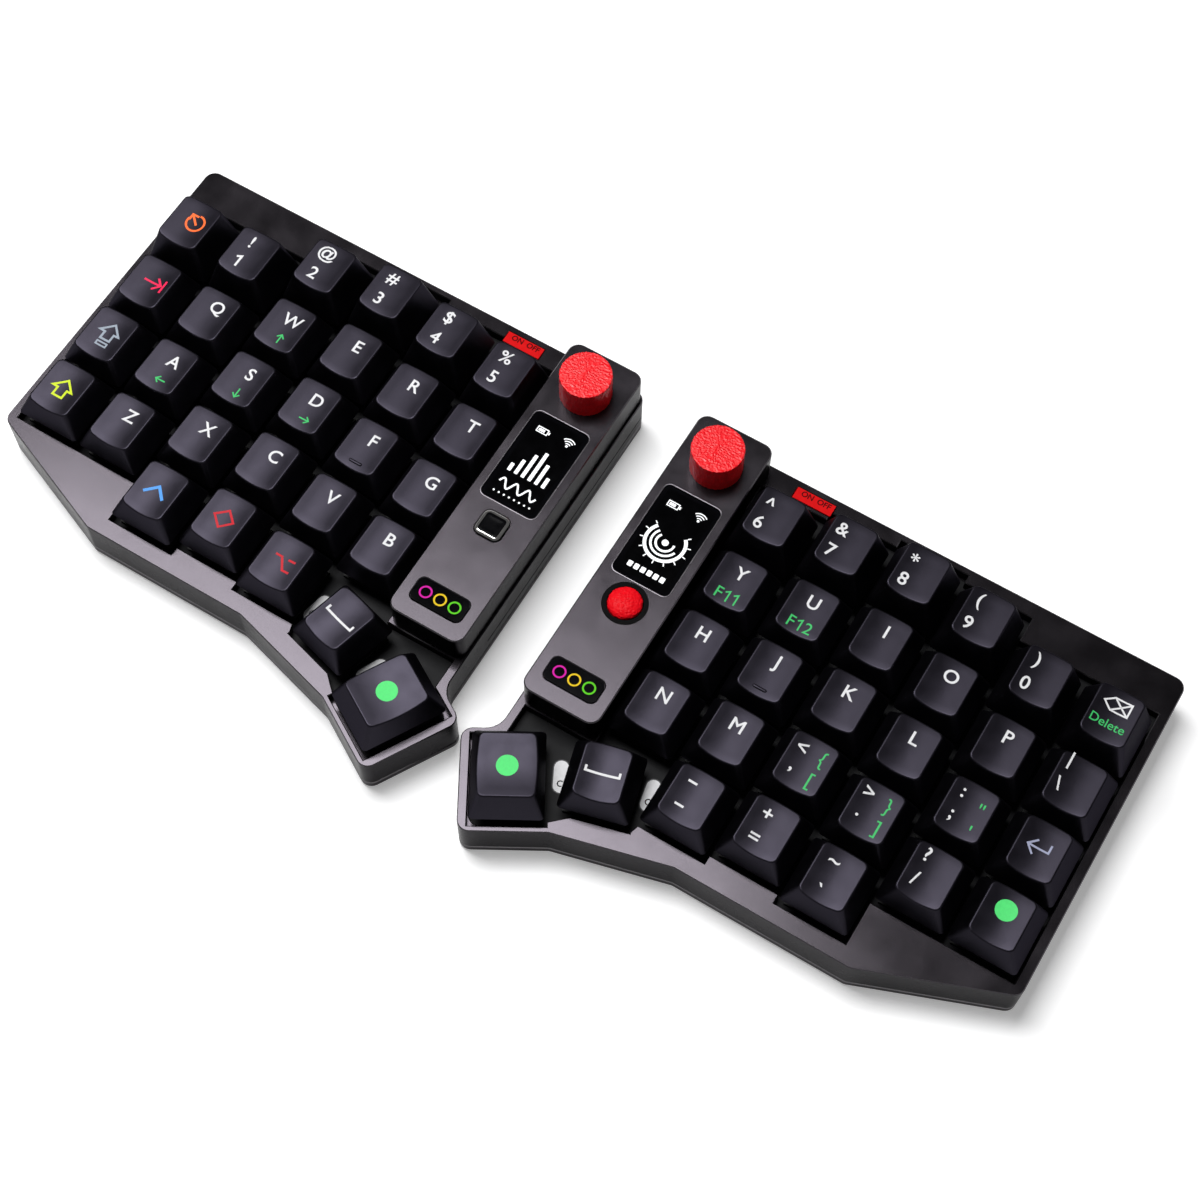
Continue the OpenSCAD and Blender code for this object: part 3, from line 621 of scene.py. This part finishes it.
def erase_mark():
    """Pointed tag with a cross."""
    tag = ribbon([(-3.4, 0), (-1.2, 1.8), (3.2, 1.8), (3.2, -1.8), (-1.2, -1.8)], 0.45, True)
    bars = [ribbon([(-1.2, s * 1.8), (3.2, -s * 1.8)], 0.45) for s in (1, -1)]
    return joined(tag, *bars)


def bracket_mark():
    """Open bracket lying on its back."""
    return ribbon([(-4.2, 0.9), (-4.2, -0.4), (4.2, -0.4), (4.2, 0.9)])


def add_marks(bm, shape, index, surface, rib):
    """Adds a flat shape to a bmesh as an ink film over a surface, cut along ribs so that it follows it."""
    film = bmesh.new()
    points, faces = shape
    verts = [film.verts.new((x, y, 0)) for x, y in points]
    for face in faces:
        film.faces.new([verts[i] for i in face])
    film.normal_update()
    bmesh.ops.reverse_faces(film, faces=[f for f in film.faces if f.normal.z < 0])
    if rib:
        low = min(p[0] for p in points)
        high = max(p[0] for p in points)
        for k in range(math.ceil(low / rib), math.floor(high / rib) + 1):
            bmesh.ops.bisect_plane(film, geom=film.verts[:] + film.edges[:] + film.faces[:],
                                   plane_co=(k * rib, 0, 0), plane_no=(1, 0, 0))
    raised = bmesh.ops.extrude_face_region(film, geom=film.faces[:], use_keep_orig=True)["geom"]
    tops = [v for v in raised if isinstance(v, bmesh.types.BMVert)]
    bmesh.ops.translate(film, verts=tops, vec=(0, 0, INK))
    for vert in film.verts:
        vert.co.z += surface(vert.co.x)
    bmesh.ops.recalc_face_normals(film, faces=film.faces)
    for face in film.faces:
        face.material_index = index
    mesh = bpy.data.meshes.new("film")
    film.to_mesh(mesh)
    film.free()
    bm.from_mesh(mesh)
    bpy.data.meshes.remove(mesh)


def level(_):
    """Surface of a flat panel."""
    return 0.0


def print_marks(name, marks, body, place, surface=level, rib=0.0):
    """One object of all the marks of a key or panel: a list of (shape, ink)."""
    bm = bmesh.new()
    inks = []
    for shape, mat in marks:
        if mat not in inks:
            inks.append(mat)
        add_marks(bm, shape, inks.index(mat), surface, rib)
    return add_object(name, bm, inks, body, place, 20)


# Keys and their legends, inner column first

LEFT_ROWS = ("54321", "TREWQ", "GFDSA", "BVCXZ")
RIGHT_ROWS = ("67890", "YUIOP", "HJKL;", "NM,./")
LOW_KEYS = {"left": ("option", "diamond", "chevron"), "right": ("-", "=", "`")}
OUTER_KEYS = {"left": ("escape", "tab", "caps", "shift"), "right": ("erase", "\\", "return", "end")}
SHIFTED = dict(zip("1234567890\\;,./-=`", "!@#$%^&*()|:<>?_+~"))
SECOND = {",": "{[", ".": "}]", ";": "\"'"}
LAYER_ARROWS = {"W": 90, "A": 180, "S": 270, "D": 0}
LAYER_WORDS = {"Y": "F11", "U": "F12"}
HOMING = "FJ"
RIGHT_LETTERS = "YUIOPHJKLNM"
LETTER_AT = {"left": (0.75, 2.25), "right": (0.25, 2.6)}

# Keys whose two signs stand nearer the middle, and how far others stand aside and to the rear
NEAR_MIDDLE = "12345-=`"
SHIFTS = {"\\": (-0.8, 1.5), "/": (0, 1.0), ".": (0, 0.6)}

ICONS = {
    "escape": [(moved(escape_mark(), 1.1, 0.6), ORANGE)],
    "tab": [(moved(tab_mark(), 0.6, 0.2), PINK)],
    "caps": [(moved(caps_mark(), 0.3, 0.3), GREY)],
    "shift": [(block_arrow(5.7, 5.2, 1.4), YELLOW)],
    "chevron": [(ribbon([(-2.9, -1.6), (0, 1.4), (2.9, -1.6)], 0.8), BLUE)],
    "diamond": [(ribbon([(0, 2.6), (-2.8, 0), (0, -2.6), (2.8, 0)], 0.6, True), SCARLET)],
    "option": [(moved(option_mark(), 0.5, -0.4), SCARLET)],
    "erase": [
        (moved(erase_mark(), 0, 2.9), WHITE),
        (moved(text("Delete", DELETE_H, 0.34), -0.2, -2.5), GREEN),
    ],
    "return": [(moved(return_mark(), -0.3, 0.8), LAVENDER)],
    "end": [(moved(disc(2.7), 0, 1.8), DOT_GREEN)],
    "dot": [(disc(2.7), DOT_GREEN)],
    "space": [(bracket_mark(), WHITE)],
}


def one_mark(height, stroke):
    """Digit one with a flag."""
    half = height / 2
    return ribbon([(-0.26 * height, half - 0.26 * height), (0.06 * height, half - stroke / 2),
                   (0.06 * height, -half)], stroke)


def sign_mark(sign, height=SYMBOL_H, stroke=STROKE):
    """Digit or sign, with plain bars for the dashes."""
    if sign == "1":
        return one_mark(height, stroke)
    return slab(2.4, stroke) if sign in "-_" else text(sign, height, stroke)


def function_mark(word):
    """Name of a function key, sign by sign."""
    signs = [sign_mark(sign, SMALL_H, THIN) for sign in word]
    return joined(*(moved(sign, 2.3 * i - 2.3, 0) for i, sign in enumerate(signs)))


def key_marks(name):
    """Marks of a key by its icon's name or its character."""
    if name in ICONS:
        return ICONS[name]
    if name in SHIFTED:
        aside, lift = SHIFTS.get(name, (0, 0))
        x = aside - (1.6 if name in NEAR_MIDDLE else 2.7)
        marks = [(moved(sign_mark(SHIFTED[name]), x, 3.5 + lift), WHITE),
                 (moved(sign_mark(name), x, -3.1 + lift), WHITE)]
        for sign, y in zip(SECOND.get(name, ""), (2.6, -3.6)):
            marks.append((moved(text(sign, SYMBOL_H, THIN), 2.9, y), GREEN))
        return marks
    half = "right" if name in RIGHT_LETTERS else "left"
    marks = [(moved(text(name, LETTER_H), *LETTER_AT[half]), WHITE)]
    if name in LAYER_ARROWS:
        marks.append((moved(arrow(2.8, 0.38), 0.8, -4.0, LAYER_ARROWS[name]), GREEN))
    if name in LAYER_WORDS:
        marks.append((moved(function_mark(LAYER_WORDS[name]), 0.1, -4.4), GREEN))
    return marks


def add_homing_bar(name, cap, body, place):
    """Low rounded bar near the front edge of a home key."""
    bm = bmesh.new()
    rings = []
    for grow, z in ((0.0, -0.05), (0.0, 0.12), (0.12, 0.26), (0.3, 0.32)):
        flat = rounded_ring(1.9 - grow, 0.42 - grow, 0.4 - grow, 4, 2)
        rings.append([(p.x, p.y - 5.2, cap.top(p.x) + z) for p in flat])
    loft(bm, rings)
    add_object(name, bm, (KEYCAP,), body, place)


def add_key(node, body, tag, cap, x, y, z, angle, legend):
    """One keycap with its print."""
    place = at(x, y, z, angle)
    piece = cap.place(f"{node}_cap{tag}", body, place)
    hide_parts(node)
    print_marks(f"{node}_print{tag}", key_marks(legend), body, place, cap.top, 0.8)
    if legend in HOMING:
        add_homing_bar(f"{node}_bar{tag}", cap, body, place)


def add_stems(node):
    """Sliding stems of a key node, as modelled."""
    bm = node_bmesh(node)
    for group in islands(bm):
        low, high = corners(group)
        if high.x - low.x > CAP_W / 2:
            bmesh.ops.delete(bm, geom=group, context="VERTS")
    piece = add_object(f"{node}_stems", bm, (SWITCH,), node)
    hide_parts(node)


def legend_of(half, row, column):
    """Legend of a key in the six columns, counted from the inner one."""
    rows = LEFT_ROWS if half == "left" else RIGHT_ROWS
    return OUTER_KEYS[half][row] if column == COLUMNS - 1 else rows[row][column]


def build_keys():
    """All keycaps, prints and stems."""
    for half in HALVES:
        sense = 1 if half == "right" else -1
        for column in range(COLUMNS):
            for part, first_row in (("rear", 0), ("front", 2)):
                node = f"{half}_keys_column_{column + 1}_{part}"
                low, high = box_mm(node)
                for row, y in ((first_row, high.y - CAP_W / 2), (first_row + 1, low.y + CAP_W / 2)):
                    cap = STANDARD if row else NUMBER
                    base = high.z - (NUMBER.height if part == "rear" else STANDARD.height)
                    add_key(node, node, f"_{row + 1}", cap, (low.x + high.x) / 2, y, base, 0,
                            legend_of(half, row, column))
                add_stems(node)
        singles = [(f"{half}_key_low_{i + 2}", STANDARD, 0, name) for i, name in enumerate(LOW_KEYS[half])]
        singles.append((f"{half}_key_space", STANDARD, SPACE_ANGLE, "space"))
        singles.append((f"{half}_key_thumb", THUMB, THUMB_ANGLE, "dot"))
        for node, cap, angle, legend in singles:
            low, high = box_mm(node)
            middle = (low + high) / 2
            add_key(node, node, "", cap, middle.x, middle.y, high.z - cap.height, sense * angle, legend)
            add_stems(node)


# Metal bodies with broken edges

# Most that a side's normal rises or dips
UPRIGHT = 0.3


def add_metal(node, mat, shaded_side_mat, highlight_edge_mat, edge):
    """Copy of a node whose upper edges are chamfered, the chamfers in a lighter finish as a painted
    highlight and the upright sides in a finish of their own, darker on cases and covers as painted shade.
    """
    bm = node_bmesh(node)
    top = max(v.co.z for v in bm.verts)
    rims = []
    for e in bm.edges:
        on_top = all(abs(v.co.z - top) < 0.01 for v in e.verts)
        if on_top and len(e.link_faces) == 2 and e.calc_face_angle() > math.radians(40):
            rims.append(e)
    # Chamfer faces take the lighter edge finish: painted highlight
    bmesh.ops.bevel(bm, geom=rims, offset=edge, offset_type="OFFSET", segments=1, profile=0.5,
                    affect="EDGES", clamp_overlap=False, loop_slide=False, material=1)
    bm.normal_update()
    # Upright sides take the side finish, darker on cases and covers as painted shade
    for face in bm.faces:
        if abs(face.normal.z) < UPRIGHT:
            face.material_index = 2
    piece = add_object(node + "_body", bm, (mat, highlight_edge_mat, shaded_side_mat), "base", None, 20)
    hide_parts(node)


def build_metal():
    """Cases, covers and bottom plates."""
    for half in HALVES:
        add_metal(f"{half}_case", CASE, CASE_SIDE_SHADE, CASE_EDGE_HIGHLIGHT, 0.25)
        add_metal(f"{half}_controller_cover", COVER, CASE_SIDE_SHADE, CASE_EDGE_HIGHLIGHT, 0.3)
        add_metal(f"{half}_bottom_plate", BOTTOM, BOTTOM, BOTTOM_EDGE_HIGHLIGHT, 0.3)


# Controls on the covers


def build_knobs():
    """Textured knobs, in the place of the plain ones."""
    for half in HALVES:
        node = f"{half}_knob"
        low, high = box_mm(node)
        radius = (high.x - low.x) / 2
        height = high.z - low.z
        skin = radius - KNOB_CRINKLE
        wall = height - KNOB_FILLET - KNOB_CRINKLE
        flat = skin - KNOB_FILLET
        profile = [(0, 0), (skin - 0.6, 0), (skin - 0.15, 0.06), (skin, 0.25)]
        profile += [(skin, 0.25 + (wall - 0.25) * i / 30) for i in range(1, 31)]
        for i in range(1, 5):
            a = math.radians(90 * i / 5)
            profile.append((flat + KNOB_FILLET * math.cos(a), wall + KNOB_FILLET * math.sin(a)))
        profile += [(flat * (1 - i / 32), height - KNOB_CRINKLE) for i in range(32)]
        profile.append((0, height - KNOB_CRINKLE))
        bm = lathe(profile, 200)
        crinkle(bm, KNOB_CRINKLE, KNOB_CELL)
        middle = (low + high) / 2
        piece = add_object(f"{node}_skin", bm, (RED,), node, at(middle.x, middle.y, low.z), 80)
        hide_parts(node)


def build_square_button():
    """Glossy square button with a bright edge."""
    node = "left_button"
    low, high = box_mm(node)
    half_w = half_width_above(node, box_mm("left_controller_cover")[1].z)
    middle = (low + high) / 2
    place = at(middle.x, middle.y, high.z)
    deep = low.z - high.z
    face = ((0.8, deep), (0.8, -0.1), (1.0, -0.03), (1.6, -0.08), (2.6, -0.12))
    edge = ((0.75, deep), (0, deep), (0, -0.22), (0.1, -0.15), (0.75, 0), (0.75, deep))
    for tag, mat, profile in (("key", BLACK_GLOSS, face), ("edge", CHROME, edge)):
        rings = []
        for draw, z in profile:
            flat = rounded_ring(half_w - draw, half_w - draw, max(0.3, 1.6 - draw))
            rings.append([(p.x, p.y, z) for p in flat])
        if profile is edge:
            bm = hoop(rings)
        else:
            bm = bmesh.new()
            loft(bm, rings)
        piece = add_object(f"{node}_{tag}", bm, (mat,), node, place)
        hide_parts(node)


def ring_piece(name, inner, outer, z, height, body, place):
    """Low dark ring with broken upper edges."""
    profile = [(inner, z), (outer, z), (outer, z + height * 0.7), (outer - height * 0.3, z + height),
               (inner + height * 0.3, z + height), (inner, z + height * 0.7), (inner, z)]
    bm = hoop([[(x, y, h) for x, y in circle(r, 64)] for r, h in profile])
    return add_object(name, bm, (DARK_RING,), body, place)


def build_round_button():
    """Textured dome in a dark ring."""
    node = "right_button"
    low, high = box_mm(node)
    cover_top = box_mm("right_controller_cover")[1].z
    radius = half_width_above(node, cover_top)
    middle = (low + high) / 2
    edge = cover_top + 0.2
    profile = [(0, low.z), (radius - 0.1, low.z), (radius - 0.1, edge)]
    for i in range(1, 36):
        a = math.radians(90 * i / 36)
        profile.append(((radius - 0.1) * math.cos(a), edge + (high.z - 0.05 - edge) * math.sin(a)))
    profile.append((0, high.z - 0.05))
    bm = lathe(profile, 120)
    crinkle(bm, KNOB_CRINKLE, DOME_CELL)
    place = at(middle.x, middle.y, 0)
    piece = add_object(f"{node}_dome", bm, (DOME_RED,), node, place, 80)
    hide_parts(node)
    ring = ring_piece(f"{node}_ring", radius + 0.12, radius + 1.4, cover_top, 0.05, "base", place)


# Windows and labels


def battery_mark(fill):
    """Battery outline with a bar for its charge."""
    return joined(ribbon([(-1.5, -0.75), (1.5, -0.75), (1.5, 0.75), (-1.5, 0.75)], 0.28, True),
                  moved(slab(0.4, 0.8), 1.95, 0), moved(slab(2.2 * fill, 0.8), -1.1 + 1.1 * fill, 0))


def radio_mark():
    """Arcs over a dot."""
    waves = [ribbon(arc(r, 45, 135, 10), 0.3) for r in (0.9, 1.6, 2.3)]
    return joined(moved(disc(0.35, 16), 0, 0.1), *waves)


def wave_panel():
    """Level bars over a wave."""
    levels = (2.4, 4.6, 7.4, 9.2, 6.4, 3.2)
    bars = [moved(slab(1.0, h, 0.2), -5 + 2 * i, -4 + h / 2) for i, h in enumerate(levels)]
    wave = ribbon([(-5.4 + 0.27 * i, -7.6 + 1.3 * math.sin(0.47 * i)) for i in range(41)], 0.5)
    dots = [moved(disc(0.28, 12), -5.2 + 1.5 * i, -10.6) for i in range(8)]
    return joined(wave, *bars, *dots)


def dial_panel():
    """Rings of a dial over a row of steps."""
    sweeps = ((5.2, 40, 0.9), (3.7, -20, 0.6), (2.4, 10, 0.6))
    rings = [ribbon(arc(radius, -220, end, 40), width) for radius, end, width in sweeps]
    ticks = [moved(slab(0.3, 0.9), 6.2 * math.cos(a), 6.2 * math.sin(a), math.degrees(a) - 90)
             for a in (math.radians(-220 + 26 * i) for i in range(11))]
    steps = [moved(slab(1.3, 1.6, 0.25), -4.6 + 1.84 * i, -9.4) for i in range(6)]
    return joined(disc(0.9, 24), *rings, *ticks, *steps)


def add_highlight_frame(name, half_w, half_l, place):
    """Thin bright ring around a window: painted highlight of the window's edge."""
    rings = []
    outer = ((0.4, 0.05), (0.45, 0.02), (0.45, -0.2))
    for grow, z in ((0.1, -0.2), (0.1, 0.02), (0.15, 0.05), *outer, (0.1, -0.2)):
        rings.append([(p.x, p.y, z) for p in rounded_ring(half_w + grow, half_l + grow, WINDOW_R + grow)])
    add_object(name, hoop(rings), (FRAME_HIGHLIGHT,), "base", place)


def build_windows():
    """Bright frames as painted highlights, and lit marks, of the display windows and status windows."""
    cover_top = box_mm("left_controller_cover")[1].z
    for low, high in solid_boxes("cover_windows"):
        middle = (low + high) / 2
        half = "left" if middle.x < 0 else "right"
        place = at(middle.x, middle.y, high.z)
        width = high.x - low.x
        length = high.y - low.y
        if length > width:
            panel = wave_panel() if half == "left" else dial_panel()
            add_highlight_frame(f"{half}_display_highlight_frame", width / 2, length / 2, at(middle.x, middle.y, cover_top))
            screen = [(slab(width - 2 * SCREEN_MARGIN, length - 2 * SCREEN_MARGIN, 0.6), SCREEN)]
            marks = [
                (moved(panel, 0, -1.0), LIT_WHITE),
                (moved(battery_mark(0.8), -3.6, 9.3), LIT_WHITE),
                (moved(radio_mark(), 4.0, 8.4), LIT_WHITE),
            ]
            print_marks(f"{half}_display_screen", screen, "base", place)
            place = at(middle.x, middle.y, high.z + INK)
            print_marks(f"{half}_display_marks", marks, "base", place)
        else:
            spots = ((-4.2, LIT_MAGENTA), (0, LIT_YELLOW), (4.2, LIT_GREEN))
            rings = [(moved(ribbon(arc(1.5, 0, 345), 0.45, True), x, 0), mat) for x, mat in spots]
            print_marks(f"{half}_status_marks", rings, "base", place)


def build_labels():
    """Lettering on the power labels."""
    for low, high in solid_boxes("power_labels"):
        middle = (low + high) / 2
        half = "left" if middle.x < 0 else "right"
        words = (("ON", -2.2), ("OFF", 2.6))
        marks = [(moved(text(word, 1.6, 0.3), x, 0.6), LABEL_INK) for word, x in words]
        piece = print_marks(f"{half}_power_words", marks, "base", at(middle.x, middle.y, high.z))


# Pads on the switch plates beside the space keys: x and y from the inner number key, turn and mark's ink
PADS = ((-12.6, -81.4, 27, BLUE), (8.5, -74.3, 12, SCARLET))
LEFT_PADS_AHEAD = 1.5


def build_pads():
    """White pads with a dark edge and a small mark."""
    for half in HALVES:
        sense = 1 if half == "right" else -1
        low, high = box_mm(f"{half}_keys_column_1_rear")
        plate_top = box_mm(f"{half}_switch_plate")[1].z
        key_y = high.y - CAP_W / 2 - (LEFT_PADS_AHEAD if half == "left" else 0)
        for i, (x, y, turn, mark_ink) in enumerate(PADS):
            place = at((low.x + high.x) / 2 + sense * x, key_y + y, plate_top, sense * turn)
            edge = [(slab(PAD_W + 2 * PAD_EDGE, PAD_L + 2 * PAD_EDGE, PAD_W / 2 + PAD_EDGE), PATCH_EDGE)]
            print_marks(f"{half}_pad_edge_{i + 1}", edge, "base", place)
            mark = moved(ribbon(arc(0.7, 40, 300), 0.3), 0, -1.8)
            face = [(slab(PAD_W, PAD_L, PAD_W / 2), PATCH), (mark, mark_ink)]
            place = place @ Matrix.Translation((0, 0, INK * MM))
            print_marks(f"{half}_pad_{i + 1}", face, "base", place)


# Studio, in metres, watts and degrees

SWEEP_PROFILE = ((3.0, 0.0), (3.4, 0.08), (3.75, 0.35), (3.95, 0.8), (4.0, 1.6))
PAPER_GLOW = 0.3
WORLD_LEVEL = 0.1
LAMP_SIZE = (0.73, 0.49)
LAMP_POWER = 17.0
LAMP_PLACE = (-0.385, 0.12, 1.12)

# Camera of the photograph, its place in mm
CAMERA_AZIMUTH = 29.816
CAMERA_ELEVATION = 64.346
CAMERA_ROLL = 1.347
CAMERA_LENS = 67.41
CAMERA_PLACE = (132.97, -205.67, 522.05)


def math_node(nodes, links, operation, first, second=None):
    """Maths node fed by one or two outputs."""
    node = nodes.new("ShaderNodeMath")
    node.operation = operation
    links.new(first, node.inputs[0])
    if second is not None:
        links.new(second, node.inputs[1])
    return node


def add_paper_glow(paper):
    """Lightens the paper for camera, glossy and transmission rays only."""
    nodes = paper.node_tree.nodes
    links = paper.node_tree.links
    path = nodes.new("ShaderNodeLightPath").outputs
    either = math_node(nodes, links, "ADD", path["Is Glossy Ray"], path["Is Transmission Ray"])
    seen = math_node(nodes, links, "ADD", path["Is Camera Ray"], either.outputs[0])
    seen.use_clamp = True
    dimmed = math_node(nodes, links, "MULTIPLY", seen.outputs[0])
    dimmed.inputs[1].default_value = PAPER_GLOW
    shader = nodes["Principled BSDF"]
    shader.inputs["Emission Color"].default_value = (1, 1, 1, 1)
    links.new(dimmed.outputs[0], shader.inputs["Emission Strength"])


def build_sweep():
    """Pale floor that curves up all round."""
    bm = bmesh.new()
    loft(bm, [[(x, y, z) for x, y in circle(radius, 96)] for radius, z in SWEEP_PROFILE], True, False)
    bmesh.ops.reverse_faces(bm, faces=bm.faces)
    mesh = bpy.data.meshes.new("sweep")
    bm.to_mesh(mesh)
    bm.free()
    mesh.shade_smooth()
    sweep = bpy.data.objects.new("sweep", mesh)
    bpy.context.scene.collection.objects.link(sweep)
    paper = finish("studio_paper", (0.88, 0.88, 0.885), 0.85, 0.01, 90, 0.04, 0.8, 0.002)
    add_paper_glow(paper)
    mesh.materials.append(paper)


def build_light():
    """Dim white world and one softbox."""
    world = bpy.data.worlds.new("studio")
    world.use_nodes = True
    back = world.node_tree.nodes["Background"]
    back.inputs["Color"].default_value = (1, 1, 1, 1)
    back.inputs["Strength"].default_value = WORLD_LEVEL
    bpy.context.scene.world = world

    lamp = bpy.data.lights.new("softbox", "AREA")
    lamp.shape = "RECTANGLE"
    lamp.size, lamp.size_y = LAMP_SIZE
    lamp.energy = LAMP_POWER
    softbox = bpy.data.objects.new("softbox", lamp)
    softbox.location = LAMP_PLACE
    bpy.context.scene.collection.objects.link(softbox)


def build_camera():
    """Camera of the photograph."""
    azimuth, elevation, roll = (math.radians(v) for v in (CAMERA_AZIMUTH, CAMERA_ELEVATION, CAMERA_ROLL))
    toward = Vector((math.sin(azimuth) * math.cos(elevation), -math.cos(azimuth) * math.cos(elevation),
                     math.sin(elevation)))
    right = Vector((math.cos(azimuth), math.sin(azimuth), 0))
    up = toward.cross(right)
    level_right = right * math.cos(roll) + up * math.sin(roll)
    level_up = up * math.cos(roll) - right * math.sin(roll)
    turn = Matrix((level_right, level_up, toward)).transposed().to_4x4()
    camera = bpy.data.cameras.new("photo_camera")
    camera.sensor_width = 36
    camera.lens = CAMERA_LENS
    camera.clip_start = 0.01
    view = bpy.data.objects.new("photo_camera", camera)
    view.matrix_world = Matrix.Translation(Vector(CAMERA_PLACE) * MM) @ turn
    bpy.context.scene.collection.objects.link(view)
    bpy.context.scene.camera = view
    bpy.context.scene.view_settings.view_transform = "Standard"


build_sweep()
build_light()
build_camera()
paint_nodes()
build_metal()
build_keys()
build_knobs()
build_square_button()
build_round_button()
build_windows()
build_labels()
build_pads()
